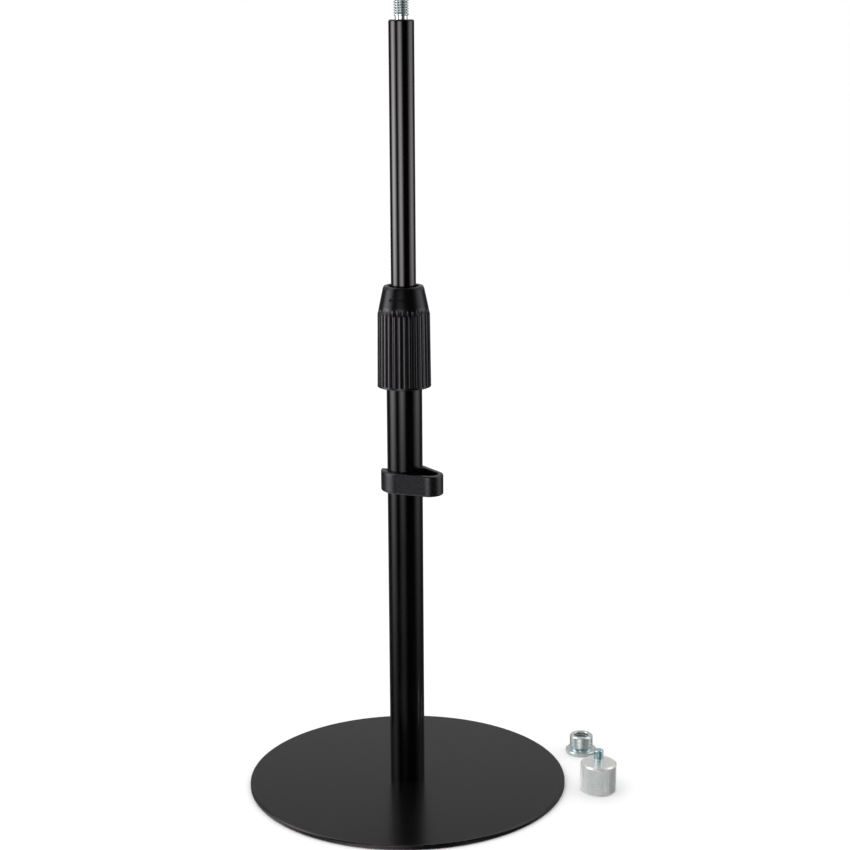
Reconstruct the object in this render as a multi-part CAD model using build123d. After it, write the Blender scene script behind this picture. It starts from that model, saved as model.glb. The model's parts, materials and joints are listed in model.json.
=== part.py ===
from build123d import *

import math
import os

# Desktop microphone stand. Millimetres, +Z up.
# The origin is the centre of the resting face, under the pole. The cable clip points
# to the front right (-Y is the front, +X is the right).

# Fits
SEAT_GAP = 0.02            # radial gap left where two parts are fixed together
RUN_GAP = 0.05             # radial gap where two parts slide or turn

# Base
PLATE_RADIUS = 106.0
PLATE_THICKNESS = 3.0
PLATE_EDGE_ROUND = 0.8
PLATE_EDGE_CHAMFER = 0.3
PAD_RADIUS = 101.0
PAD_THICKNESS = 0.5
SCREW_RADIUS = 2.5         # M5
SCREW_LENGTH = 16.0
SCREW_HEAD_RADIUS = 4.6
SCREW_HEAD_RIM = 0.3
SCREW_HEX = 3.0
SCREW_HEX_DEPTH = 1.4
SCREW_HOLE_RADIUS = 2.75
COUNTERSINK_CLEARANCE = 0.05

# Tubes
OUTER_RADIUS = 11.5
INNER_RADIUS = 8.0
TUBE_WALL = 1.2
TUBE_CHAMFER = 0.3
OUTER_TUBE_LENGTH = 286.5
INNER_TUBE_TOP = 502.2
INNER_TUBE_LENGTH = 320.0
INNER_TUBE_EDGE_ROUND = 0.6
NECK_STEP = 0.6            # radial depth of the swaged neck that holds the guide bush
NECK_LIP = 1.5
BUSH_LENGTH = 11.4
BUSH_AXIAL_GAP = 0.05
BUSH_SLIT = 2.5
PLUG_LENGTH = 18.0
PLUG_CHAMFER = 0.5

# Stud, 3/8 in-16
STUD_RADIUS = 4.7625
STUD_NECK_RADIUS = 3.95
STUD_NECK_LENGTH = 2.6
STUD_THREAD_LENGTH = 10.2
STUD_POINT = 0.8
STUD_BURIED = 14.0

# Height clutch
CLUTCH_BOTTOM = 272.2
CLUTCH_TOP = 337.4
NUT_LIP_RADIUS = 17.35
NUT_LIP_HEIGHT = 1.3
NUT_LIP_ROUND = 0.5
NUT_RADIUS = 14.9
NUT_SHOULDER = 318.0       # where the nut's outside starts to narrow
NUT_TOP_RADIUS = 11.0
NUT_TOP = 334.0
NUT_THROAT_RADIUS = 9.0
THREAD_RADIUS = 13.0
SLEEVE_BOTTOM = 276.0
SLEEVE_TOP = 312.0
SLEEVE_CHAMFER = 0.6
COLLET_BOTTOM = 312.3
COLLET_TOP = 328.0
COLLET_RIM = 2.0
COLLET_LARGE_RADIUS = 12.0
COLLET_SMALL_RADIUS = 10.0
COLLET_SLIT = 2.0
GRIP_BOTTOM_RADIUS = 17.35
GRIP_SHOULDER_RADIUS = 16.75
GRIP_SHOULDER = 318.8
GRIP_CONE_RADIUS = 13.25
GRIP_CONE_TOP = 336.0
GRIP_MOUTH_RADIUS = 9.7
GRIP_RIM_ROUND = 1.2
FLUTE_COUNT = 30
FLUTE_DEPTH = 0.95
FLUTE_RADIUS = 0.8

# Cable clip
CLIP_BOTTOM = 203.6
CLIP_HEIGHT = 13.5
CLIP_RING_RADIUS = 15.7
CLIP_LOBE_RADIUS = 9.15
CLIP_LOBE_WALL = 3.5
CLIP_LOBE_DISTANCE = 20.2
CLIP_DIRECTION = -40.0     # degrees from +X to the cable lobe
CLIP_GAP_ANGLE = 58.0      # the ring is open here, opposite the lobe
CLIP_EDGE_ROUND = 0.9

# Loose adapters, standing beside the base
BUSHING_PLACE = (122.0, 44.0)
BUSHING_RADIUS = 7.9375    # 5/8 in-27
BUSHING_FLANGE_RADIUS = 10.7
BUSHING_FLANGE_HEIGHT = 2.75
BUSHING_RELIEF_RADIUS = 7.3
BUSHING_RELIEF_HEIGHT = 2.3
BUSHING_HEIGHT = 13.05
BUSHING_CHAMFER = 0.5
ADAPTER_PLACE = (127.0, -20.0)
ADAPTER_RADIUS = 12.0
ADAPTER_HEIGHT = 20.0
ADAPTER_BEVEL = 1.0
ADAPTER_STUD_RADIUS = 3.175   # 1/4 in-20
ADAPTER_STUD_HEIGHT = 8.8
ADAPTER_NECK_RADIUS = 2.7
ADAPTER_NECK_HEIGHT = 2.4
ADAPTER_HOLE_DEPTH = 12.0

PLATE_BOTTOM = PAD_THICKNESS
PLATE_TOP = PAD_THICKNESS + PLATE_THICKNESS
OUTER_TUBE_TOP = PLATE_TOP + OUTER_TUBE_LENGTH
OUTER_TUBE_BORE = OUTER_RADIUS - TUBE_WALL
INNER_TUBE_BORE = INNER_RADIUS - TUBE_WALL
INNER_TUBE_BOTTOM = INNER_TUBE_TOP - INNER_TUBE_LENGTH
BUSH_BOTTOM = INNER_TUBE_BOTTOM + NECK_LIP + BUSH_AXIAL_GAP
NECK_TOP = BUSH_BOTTOM + BUSH_LENGTH + BUSH_AXIAL_GAP
NECK_RADIUS = INNER_RADIUS - NECK_STEP
TUBE_GUIDE_RADIUS = INNER_RADIUS + RUN_GAP
STUD_BASE = INNER_TUBE_TOP - STUD_BURIED
STUD_THREAD_BASE = INNER_TUBE_TOP + STUD_NECK_LENGTH
STUD_TOP = STUD_THREAD_BASE + STUD_THREAD_LENGTH


def turned(points):
    """A solid of revolution about the Z axis from (radius, height) points."""
    outline = Plane.XZ * make_face(Polyline(*points, close=True))
    return revolve(outline, Axis.Z, 360)


def upright(radius, bottom, top):
    """A plain cylinder on the Z axis between two heights."""
    return Pos(0, 0, (bottom + top) / 2) * Cylinder(radius, top - bottom)


def slit(width, reach, bottom, top):
    """A cutter that opens one side of a ring, at the back."""
    return Pos(0, reach / 2, (bottom + top) / 2) * Box(width, reach, top - bottom)


def base_plate():
    plate = upright(PLATE_RADIUS, PLATE_BOTTOM, PLATE_TOP)
    rims = plate.edges().filter_by(GeomType.CIRCLE).sort_by(Axis.Z)
    plate = fillet(rims[-1], PLATE_EDGE_ROUND)
    rims = plate.edges().filter_by(GeomType.CIRCLE).sort_by(Axis.Z)
    plate = chamfer(rims[0], PLATE_EDGE_CHAMFER)
    mouth = SCREW_HEAD_RADIUS + SCREW_HEAD_RIM + COUNTERSINK_CLEARANCE
    cone_height = mouth - SCREW_HOLE_RADIUS
    screw_hole = turned([
        (0, PLATE_BOTTOM),
        (mouth, PLATE_BOTTOM),
        (SCREW_HOLE_RADIUS, PLATE_BOTTOM + cone_height),
        (SCREW_HOLE_RADIUS, PLATE_TOP),
        (0, PLATE_TOP),
    ])
    return plate - screw_hole


def foot_pad():
    return upright(PAD_RADIUS, 0, PAD_THICKNESS)


def base_screw():
    head_cone = SCREW_HEAD_RADIUS - SCREW_RADIUS
    tip = PLATE_BOTTOM + SCREW_LENGTH
    screw = turned([
        (0, PLATE_BOTTOM),
        (SCREW_HEAD_RADIUS, PLATE_BOTTOM),
        (SCREW_HEAD_RADIUS, PLATE_BOTTOM + SCREW_HEAD_RIM),
        (SCREW_RADIUS, PLATE_BOTTOM + SCREW_HEAD_RIM + head_cone),
        (SCREW_RADIUS, tip - PLUG_CHAMFER),
        (SCREW_RADIUS - PLUG_CHAMFER, tip),
        (0, tip),
    ])
    socket = Pos(0, 0, PLATE_BOTTOM) * extrude(
        RegularPolygon(SCREW_HEX / 2, 6, major_radius=False), SCREW_HEX_DEPTH)
    return screw - socket


def tube_plug():
    radius = OUTER_TUBE_BORE - SEAT_GAP
    plug = upright(radius, PLATE_TOP, PLATE_TOP + PLUG_LENGTH)
    plug = chamfer(plug.edges().filter_by(GeomType.CIRCLE), PLUG_CHAMFER)
    return plug - upright(SCREW_RADIUS + SEAT_GAP, PLATE_TOP, PLATE_TOP + PLUG_LENGTH)


def lower_tube():
    tube = upright(OUTER_RADIUS, PLATE_TOP, OUTER_TUBE_TOP)
    tube -= upright(OUTER_TUBE_BORE, PLATE_TOP, OUTER_TUBE_TOP)
    rims = tube.edges().filter_by(GeomType.CIRCLE).group_by(Axis.Z)[-1]
    return chamfer(rims, TUBE_CHAMFER)


def clutch_sleeve():
    """Sits over the lower tube's end; its bore above the shoulder guides the inner tube."""
    seat = OUTER_RADIUS + SEAT_GAP
    return turned([
        (seat, SLEEVE_BOTTOM),
        (THREAD_RADIUS - SLEEVE_CHAMFER, SLEEVE_BOTTOM),
        (THREAD_RADIUS, SLEEVE_BOTTOM + SLEEVE_CHAMFER),
        (THREAD_RADIUS, SLEEVE_TOP - SLEEVE_CHAMFER),
        (THREAD_RADIUS - SLEEVE_CHAMFER, SLEEVE_TOP),
        (TUBE_GUIDE_RADIUS, SLEEVE_TOP),
        (TUBE_GUIDE_RADIUS, OUTER_TUBE_TOP),
        (seat, OUTER_TUBE_TOP),
    ])


def clutch_collet():
    """Split cone ring: the nut's cone closes it on the inner tube."""
    ring = turned([
        (TUBE_GUIDE_RADIUS, COLLET_BOTTOM),
        (COLLET_LARGE_RADIUS, COLLET_BOTTOM),
        (COLLET_LARGE_RADIUS, COLLET_BOTTOM + COLLET_RIM),
        (COLLET_SMALL_RADIUS, COLLET_TOP),
        (TUBE_GUIDE_RADIUS, COLLET_TOP),
    ])
    return ring - slit(COLLET_SLIT, 2 * COLLET_LARGE_RADIUS, COLLET_BOTTOM, COLLET_TOP)


def nut_outline():
    """Outside of the nut above its lip, as (radius, height) points going up."""
    return [(NUT_RADIUS, NUT_SHOULDER), (NUT_TOP_RADIUS, NUT_TOP)]


def clutch_nut():
    lip_top = CLUTCH_BOTTOM + NUT_LIP_HEIGHT
    thread = THREAD_RADIUS + RUN_GAP
    cone_bottom = COLLET_BOTTOM + COLLET_RIM
    cone_gap = RUN_GAP
    nut = turned([
        (thread, CLUTCH_BOTTOM),
        (NUT_LIP_RADIUS, CLUTCH_BOTTOM),
        (NUT_LIP_RADIUS, lip_top),
        (NUT_RADIUS, lip_top),
        *nut_outline(),
        (NUT_THROAT_RADIUS, NUT_TOP),
        (NUT_THROAT_RADIUS, COLLET_TOP + cone_gap),
        (COLLET_SMALL_RADIUS + cone_gap, COLLET_TOP + cone_gap),
        (COLLET_LARGE_RADIUS + cone_gap, cone_bottom),
        (thread, cone_bottom),
    ])
    rims = nut.edges().filter_by(GeomType.CIRCLE).group_by(Axis.Z)[0]
    return fillet(rims.sort_by(SortBy.LENGTH)[-1], NUT_LIP_ROUND)


def clutch_grip():
    """Fluted sleeve bonded over the nut. The straight flutes run out through its plain cone."""
    lip_top = CLUTCH_BOTTOM + NUT_LIP_HEIGHT
    bore = [(radius + SEAT_GAP, height) for radius, height in reversed(nut_outline())]
    grip = turned([
        (GRIP_BOTTOM_RADIUS, lip_top),
        (GRIP_SHOULDER_RADIUS, GRIP_SHOULDER),
        (GRIP_CONE_RADIUS, GRIP_CONE_TOP),
        (GRIP_CONE_RADIUS, CLUTCH_TOP),
        (GRIP_MOUTH_RADIUS, CLUTCH_TOP),
        (GRIP_MOUTH_RADIUS, NUT_TOP + SEAT_GAP),
        (NUT_TOP_RADIUS + SEAT_GAP, NUT_TOP + SEAT_GAP),
        *bore,
        (NUT_RADIUS + SEAT_GAP, lip_top),
    ])
    rims = grip.edges().filter_by(GeomType.CIRCLE).group_by(Axis.Z)[-1]
    grip = fillet(rims.sort_by(SortBy.LENGTH)[-1], GRIP_RIM_ROUND)
    lean = math.degrees(math.atan2(GRIP_BOTTOM_RADIUS - GRIP_SHOULDER_RADIUS, GRIP_SHOULDER - lip_top))
    axis_radius = GRIP_BOTTOM_RADIUS + FLUTE_RADIUS - FLUTE_DEPTH
    cutter = Cylinder(FLUTE_RADIUS, 2 * (GRIP_CONE_TOP - lip_top))
    flute = Pos(axis_radius, 0, lip_top) * Rot(0, -lean, 0) * cutter
    return grip - PolarLocations(0, FLUTE_COUNT) * flute


def inner_tube():
    """Telescopic tube with a swaged neck and lip at its foot for the guide bush."""
    tube = turned([
        (INNER_TUBE_BORE - NECK_STEP, INNER_TUBE_BOTTOM),
        (INNER_RADIUS, INNER_TUBE_BOTTOM),
        (INNER_RADIUS, INNER_TUBE_BOTTOM + NECK_LIP),
        (NECK_RADIUS, INNER_TUBE_BOTTOM + NECK_LIP),
        (NECK_RADIUS, NECK_TOP),
        (INNER_RADIUS, NECK_TOP),
        (INNER_RADIUS, INNER_TUBE_TOP),
        (INNER_TUBE_BORE, INNER_TUBE_TOP),
        (INNER_TUBE_BORE, NECK_TOP + NECK_STEP),
        (INNER_TUBE_BORE - NECK_STEP, NECK_TOP),
    ])
    rims = tube.edges().filter_by(GeomType.CIRCLE).group_by(Axis.Z)[-1]
    return fillet(rims.sort_by(SortBy.LENGTH)[-1], INNER_TUBE_EDGE_ROUND)


def guide_bush():
    top = BUSH_BOTTOM + BUSH_LENGTH
    bush = upright(OUTER_TUBE_BORE - RUN_GAP, BUSH_BOTTOM, top)
    bush = chamfer(bush.edges().filter_by(GeomType.CIRCLE), PLUG_CHAMFER)
    bush -= upright(NECK_RADIUS + RUN_GAP, BUSH_BOTTOM, top)
    return bush - slit(BUSH_SLIT, 2 * OUTER_RADIUS, BUSH_BOTTOM, top)


def top_plug():
    bottom = INNER_TUBE_TOP - PLUG_LENGTH
    plug = upright(INNER_TUBE_BORE - SEAT_GAP, bottom, INNER_TUBE_TOP)
    plug = chamfer(plug.edges().filter_by(GeomType.CIRCLE), PLUG_CHAMFER / 2)
    return plug - upright(STUD_NECK_RADIUS + SEAT_GAP, bottom, INNER_TUBE_TOP)


def thread_stud():
    return turned([
        (0, STUD_BASE),
        (STUD_NECK_RADIUS, STUD_BASE),
        (STUD_NECK_RADIUS, STUD_THREAD_BASE),
        (STUD_RADIUS, STUD_THREAD_BASE),
        (STUD_RADIUS, STUD_TOP - STUD_POINT),
        (STUD_RADIUS - STUD_POINT, STUD_TOP),
        (0, STUD_TOP),
    ])


def loop_face(ring_radius, lobe_radius):
    """Face of the belt outline around the tube circle and the cable lobe circle, lobe on +X."""
    tilt = math.acos((ring_radius - lobe_radius) / CLIP_LOBE_DISTANCE)
    side = (math.cos(tilt), math.sin(tilt))
    ring_touch = (ring_radius * side[0], ring_radius * side[1])
    lobe_touch = (CLIP_LOBE_DISTANCE + lobe_radius * side[0], lobe_radius * side[1])
    straight = Line(ring_touch, lobe_touch)
    lobe = ThreePointArc(lobe_touch, (CLIP_LOBE_DISTANCE + lobe_radius, 0), (lobe_touch[0], -lobe_touch[1]))
    back = Line((lobe_touch[0], -lobe_touch[1]), (ring_touch[0], -ring_touch[1]))
    ring = ThreePointArc((ring_touch[0], -ring_touch[1]), (-ring_radius, 0), ring_touch)
    return make_face([straight, lobe, back, ring])


def cable_clip():
    """One band round the tube and the cable, open at the back so that it can be snapped on."""
    band = extrude(loop_face(CLIP_RING_RADIUS, CLIP_LOBE_RADIUS), CLIP_HEIGHT)
    rims = band.edges().group_by(Axis.Z)
    band = fillet(rims[0] + rims[-1], CLIP_EDGE_ROUND)
    inside = loop_face(OUTER_RADIUS + RUN_GAP, CLIP_LOBE_RADIUS - CLIP_LOBE_WALL)
    band -= extrude(inside, CLIP_HEIGHT)
    reach = 2 * CLIP_RING_RADIUS
    half = math.radians(CLIP_GAP_ANGLE / 2)
    corner = (-reach * math.cos(half), reach * math.sin(half))
    opening = make_face(Polyline((0, 0), corner, (corner[0], -corner[1]), close=True))
    band -= extrude(opening, CLIP_HEIGHT)
    return Pos(0, 0, CLIP_BOTTOM) * Rot(0, 0, CLIP_DIRECTION) * band


def thread_bushing():
    bushing = turned([
        (STUD_RADIUS + BUSHING_CHAMFER, 0),
        (BUSHING_FLANGE_RADIUS - BUSHING_CHAMFER, 0),
        (BUSHING_FLANGE_RADIUS, BUSHING_CHAMFER),
        (BUSHING_FLANGE_RADIUS, BUSHING_FLANGE_HEIGHT - BUSHING_CHAMFER),
        (BUSHING_FLANGE_RADIUS - BUSHING_CHAMFER, BUSHING_FLANGE_HEIGHT),
        (BUSHING_RELIEF_RADIUS, BUSHING_FLANGE_HEIGHT),
        (BUSHING_RELIEF_RADIUS, BUSHING_FLANGE_HEIGHT + BUSHING_RELIEF_HEIGHT),
        (BUSHING_RADIUS, BUSHING_FLANGE_HEIGHT + BUSHING_RELIEF_HEIGHT + BUSHING_CHAMFER),
        (BUSHING_RADIUS, BUSHING_HEIGHT - BUSHING_CHAMFER),
        (BUSHING_RADIUS - BUSHING_CHAMFER, BUSHING_HEIGHT),
        (STUD_RADIUS + BUSHING_CHAMFER, BUSHING_HEIGHT),
        (STUD_RADIUS, BUSHING_HEIGHT - BUSHING_CHAMFER),
        (STUD_RADIUS, BUSHING_CHAMFER),
    ])
    return Pos(*BUSHING_PLACE, 0) * bushing


def camera_adapter():
    adapter = turned([
        (STUD_RADIUS, 0),
        (ADAPTER_RADIUS - ADAPTER_BEVEL / 2, 0),
        (ADAPTER_RADIUS, ADAPTER_BEVEL / 2),
        (ADAPTER_RADIUS, ADAPTER_HEIGHT - ADAPTER_BEVEL),
        (ADAPTER_RADIUS - ADAPTER_BEVEL, ADAPTER_HEIGHT),
        (ADAPTER_NECK_RADIUS, ADAPTER_HEIGHT),
        (ADAPTER_NECK_RADIUS, ADAPTER_HEIGHT + ADAPTER_NECK_HEIGHT),
        (ADAPTER_STUD_RADIUS, ADAPTER_HEIGHT + ADAPTER_NECK_HEIGHT),
        (ADAPTER_STUD_RADIUS, ADAPTER_HEIGHT + ADAPTER_STUD_HEIGHT - STUD_POINT),
        (ADAPTER_STUD_RADIUS - STUD_POINT, ADAPTER_HEIGHT + ADAPTER_STUD_HEIGHT),
        (0, ADAPTER_HEIGHT + ADAPTER_STUD_HEIGHT),
        (0, ADAPTER_HOLE_DEPTH),
        (STUD_RADIUS, ADAPTER_HOLE_DEPTH),
    ])
    return Pos(*ADAPTER_PLACE, 0) * adapter


PIECES = [
    base_plate, foot_pad, base_screw, tube_plug, lower_tube, clutch_sleeve, clutch_collet, clutch_nut,
    clutch_grip, inner_tube, guide_bush, top_plug, thread_stud, cable_clip, thread_bushing, camera_adapter,
]

os.makedirs("parts", exist_ok=True)
for piece in PIECES:
    export_step(piece(), f"parts/{piece.__name__}.step")
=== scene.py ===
import json
import math

import bpy
import numpy as np
from mathutils import Matrix, Vector


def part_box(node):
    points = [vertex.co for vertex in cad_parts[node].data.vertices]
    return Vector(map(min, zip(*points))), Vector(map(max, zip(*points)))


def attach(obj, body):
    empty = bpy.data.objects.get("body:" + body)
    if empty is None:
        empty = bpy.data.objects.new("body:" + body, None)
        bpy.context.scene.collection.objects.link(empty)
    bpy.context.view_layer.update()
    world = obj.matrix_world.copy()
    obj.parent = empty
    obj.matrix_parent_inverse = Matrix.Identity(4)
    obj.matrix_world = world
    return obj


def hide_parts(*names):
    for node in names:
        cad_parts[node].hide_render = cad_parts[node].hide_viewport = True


# Looks of a desktop microphone stand. Everything is in metres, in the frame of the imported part:
# +Z up, origin under the pole, -Y the front, +X the right.

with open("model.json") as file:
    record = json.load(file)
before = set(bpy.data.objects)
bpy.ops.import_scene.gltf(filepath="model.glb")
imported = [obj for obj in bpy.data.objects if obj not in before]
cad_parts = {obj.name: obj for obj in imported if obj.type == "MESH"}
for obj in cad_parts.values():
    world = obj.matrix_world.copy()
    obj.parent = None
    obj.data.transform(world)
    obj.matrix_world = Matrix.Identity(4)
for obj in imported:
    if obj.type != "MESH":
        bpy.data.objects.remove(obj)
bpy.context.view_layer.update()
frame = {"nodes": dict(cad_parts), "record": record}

MM = 0.001
INCH = 25.4                   # in mm
TURN = 2 * math.pi
SEAT_GAP = 0.02 * MM          # radial gap where two parts are fixed together
RUN_GAP = 0.05 * MM           # radial gap where two parts slide or turn
EDGE_GUARD = 0.3 * MM         # width of the strip beside a rounded edge that takes up its shading


# ---------------------------------------------------------------- places from the frame

def cylinder_of(node):
    """Centre, radius, bottom and top of a round node, from its box at rest."""
    low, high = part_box(node)
    centre = ((low.x + high.x) / 2, (low.y + high.y) / 2)
    return centre, (high.x - low.x) / 2, low.z, high.z


def mount(name):
    """One mount of the record, by its name."""
    return next(m for m in frame["record"]["mounts"] if m["name"] == name)


def mount_radius(name):
    """Nominal radius of a mount's pin or hole, in metres."""
    return mount(name)["dims"]["r_mm"] * MM


# ---------------------------------------------------------------- outlines

def corner(radius, height, rounding=0.0):
    """One corner of an outline, in metres, with its rounding radius."""
    return (radius, height, rounding)


def outline(corners, closed=True, arc_points=6):
    """Corners to points (radius, height, wear): every rounding becomes an arc whose wear is 1."""
    count = len(corners)
    points = []
    for i, (r, z, rounding) in enumerate(corners):
        here = np.array([r, z])
        if rounding <= 0 or (not closed and i in (0, count - 1)):
            points.append((r, z, 0.0))
            continue
        before = np.array(corners[i - 1][:2]) - here
        after = np.array(corners[(i + 1) % count][:2]) - here
        before /= np.linalg.norm(before)
        after /= np.linalg.norm(after)
        half = math.acos(max(-1.0, min(1.0, float(before @ after)))) / 2
        reach = rounding / math.tan(half)
        middle = here + (before + after) / np.linalg.norm(before + after) * rounding / math.sin(half)
        start = here + before * reach - middle
        end = here + after * reach - middle
        sweep = math.pi - 2 * half
        for k in range(arc_points + 1):
            t = k / arc_points
            mix = (start * math.sin((1 - t) * sweep) + end * math.sin(t * sweep)) / math.sin(sweep)
            edge = math.sin(math.pi * t) ** 0.5 if 0 < t < 1 else 0.0
            points.append((*(middle + mix), edge))
    return guarded(points, closed)


def stretches(points, closed):
    """Pairs of neighbouring points, with the closing pair when the outline is closed."""
    return zip(points, points[1:] + points[:1] if closed else points[1:])


def guarded(points, closed):
    """Adds a point close to both ends of every long stretch, so that smooth shading stays flat between."""
    result = []
    for a, b in stretches(points, closed):
        result.append(a)
        length = math.hypot(b[0] - a[0], b[1] - a[1])
        if length > 4 * EDGE_GUARD:
            for t in (EDGE_GUARD / length, 1 - EDGE_GUARD / length):
                result.append((a[0] + (b[0] - a[0]) * t, a[1] + (b[1] - a[1]) * t, 0.0))
    if not closed:
        result.append(points[-1])
    return result


def refine(points, step, closed=True, low=-1.0, high=1.0):
    """Splits the outline's long stretches between two heights into steps, for relief."""
    result = []
    for a, b in stretches(points, closed):
        result.append(a)
        length = math.hypot(b[0] - a[0], b[1] - a[1])
        inside = min(a[1], b[1]) < high and max(a[1], b[1]) > low
        pieces = max(1, round(length / step)) if inside else 1
        for k in range(1, pieces):
            t = k / pieces
            result.append(tuple(a[j] + (b[j] - a[j]) * t for j in range(3)))
    if not closed:
        result.append(points[-1])
    return result


# ---------------------------------------------------------------- meshes

def finish_mesh(name, vertices, faces, wear, depth, sharp_angle):
    """A smooth object from points and faces; the materials read wear and depth at every point."""
    mesh = bpy.data.meshes.new(name)
    mesh.from_pydata([tuple(v) for v in vertices], [], faces)
    for attribute, values in (("wear", wear), ("depth", depth)):
        data = mesh.attributes.new(attribute, "FLOAT", "POINT").data
        data.foreach_set("value", np.asarray(values, np.float32))
    mesh.polygons.foreach_set("use_smooth", [True] * len(mesh.polygons))
    mesh.set_sharp_from_angle(angle=math.radians(sharp_angle))
    mesh.update()
    piece = bpy.data.objects.new(name, mesh)
    bpy.context.scene.collection.objects.link(piece)
    return piece


def dress(piece, material, node, body):
    """Gives a piece its material, and puts it in the place of a CAD node on a moving body."""
    piece.data.materials.append(material)
    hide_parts(node)
    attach(piece, body)


def lathe(name, points, segments, centre=(0.0, 0.0), relief=None, sharp_angle=35):
    """A closed solid of revolution. points runs up the outside and down the inside (or ends on the axis).

    relief(angle, radius, height) gives the radial change and its depth from 0 to 1.
    """
    angle = np.arange(segments) * TURN / segments
    vertices, wear, depth, rows = [], [], [], []
    for r, z, worn in points:
        if r < 1e-9:
            rows.append([len(vertices)])
            vertices.append((centre[0], centre[1], z))
            wear.append(0.0)
            depth.append(0.0)
            continue
        change, sunk = relief(angle, r, z) if relief else (0.0, 0.0)
        radius = r + change + np.zeros(segments)
        x = centre[0] + radius * np.cos(angle)
        y = centre[1] + radius * np.sin(angle)
        rows.append(list(range(len(vertices), len(vertices) + segments)))
        vertices.extend(np.stack([x, y, np.full(segments, z)], 1).tolist())
        wear.extend([worn] * segments)
        depth.extend((sunk + np.zeros(segments)).tolist())
    faces = []
    from_axis = len(rows[0]) == 1
    for a, b in stretches(rows, closed=not from_axis):
        for k in range(segments):
            n = (k + 1) % segments
            if len(a) == 1 and len(b) > 1:
                faces.append((a[0], b[n], b[k]))
            elif len(b) == 1 and len(a) > 1:
                faces.append((a[k], a[n], b[0]))
            elif len(a) > 1:
                faces.append((a[k], a[n], b[n], b[k]))
    return finish_mesh(name, vertices, faces, wear, depth, sharp_angle)


def smooth_step(x, low, high):
    t = np.clip((x - low) / (high - low), 0, 1)
    return t * t * (3 - 2 * t)


def zigzag(x):
    """0 in the middle of each unit of x and 1 at its ends."""
    return np.abs(2 * (x - np.floor(x)) - 1)


def thread_relief(outer, pitch, deep, bottom, top, inside=False, crest=0.2, flank=0.4):
    """A right-hand thread that fades out at both ends, on the surface of radius outer.

    crest and flank are shares of half a pitch; the rest of it is the flat root.
    """
    def relief(angle, r, z):
        if abs(r - outer) > 0.2 * MM or not bottom <= z <= top:
            return 0.0, 0.0
        fade = smooth_step(z, bottom, bottom + 0.5 * pitch) * smooth_step(-z, -top, -top + 0.5 * pitch)
        sunk = smooth_step(zigzag(z / pitch - angle / TURN), crest, crest + flank) * fade
        return (deep if inside else -deep) * sunk, sunk
    return relief


def knurl_relief(outer, around, lean, deep, bottom, top):
    """Diamond knurling: flat-topped pyramids between two families of helical grooves."""
    def relief(angle, r, z):
        if abs(r - outer) > 0.05 * MM or not bottom <= z <= top:
            return 0.0, 0.0
        fade = smooth_step(z, bottom, bottom + 0.25 * MM) * smooth_step(-z, -top, -top + 0.25 * MM)
        turn = around * angle / TURN
        climb = z * around * math.tan(lean) / (TURN * outer)
        groove = np.maximum(zigzag(turn + climb), zigzag(turn - climb))
        sunk = np.clip((groove - 0.25) / 0.7, 0, 1) * fade
        return -deep * sunk, sunk ** 1.3
    return relief


def add_reliefs(*reliefs):
    """One relief that is the sum of several."""
    def relief(angle, r, z):
        change, sunk = 0.0, 0.0
        for one in reliefs:
            c, s = one(angle, r, z)
            change, sunk = change + c, sunk + s
        return change, sunk
    return relief


# ---------------------------------------------------------------- node helpers

class Graph:
    """Short calls for building a node tree."""

    def __init__(self, tree):
        self.tree = tree

    def node(self, kind, inputs=None, **settings):
        made = self.tree.nodes.new(kind)
        for key, value in settings.items():
            setattr(made, key, value)
        for key, value in (inputs or {}).items():
            self.feed(made.inputs[key], value)
        return made

    def feed(self, socket, value):
        if isinstance(value, bpy.types.NodeSocket):
            self.tree.links.new(value, socket)
        else:
            socket.default_value = value

    def math(self, operation, a, b=0.0, c=0.0):
        return self.node("ShaderNodeMath", {0: a, 1: b, 2: c}, operation=operation).outputs[0]

    def between(self, value, low, high, to_low=0.0, to_high=1.0):
        """Smooth change from to_low at low to to_high at high."""
        inputs = {"Value": value, "From Min": low, "From Max": high, "To Min": to_low, "To Max": to_high}
        return self.node("ShaderNodeMapRange", inputs, interpolation_type="SMOOTHSTEP").outputs[0]

    def mix(self, factor, a, b):
        made = self.node("ShaderNodeMix", data_type="RGBA")
        self.feed(made.inputs[0], factor)
        self.feed(made.inputs[6], a)
        self.feed(made.inputs[7], b)
        return made.outputs[2]

    def noise(self, vector, scale, detail=3.0, rough=0.5):
        inputs = {"Vector": vector, "Scale": scale, "Detail": detail, "Roughness": rough}
        return self.node("ShaderNodeTexNoise", inputs).outputs["Fac"]

    def stretched(self, vector, x, y, z):
        return self.node("ShaderNodeMapping", {"Vector": vector, "Scale": (x, y, z)}).outputs[0]

    def place(self):
        return self.node("ShaderNodeTexCoord").outputs["Object"]

    def attribute(self, name):
        return self.node("ShaderNodeAttribute", attribute_name=name).outputs["Fac"]

    def bump(self, height, distance, normal=None, strength=1.0):
        made = self.node("ShaderNodeBump", {"Height": height, "Distance": distance, "Strength": strength})
        if normal is not None:
            self.feed(made.inputs["Normal"], normal)
        return made.outputs[0]


def new_material(name):
    material = bpy.data.materials.new(name)
    material.use_nodes = True
    graph = Graph(material.node_tree)
    shader = material.node_tree.nodes["Principled BSDF"]
    return material, graph, shader


def grey(level):
    return (level, level, level, 1.0)


# ---------------------------------------------------------------- materials

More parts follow.
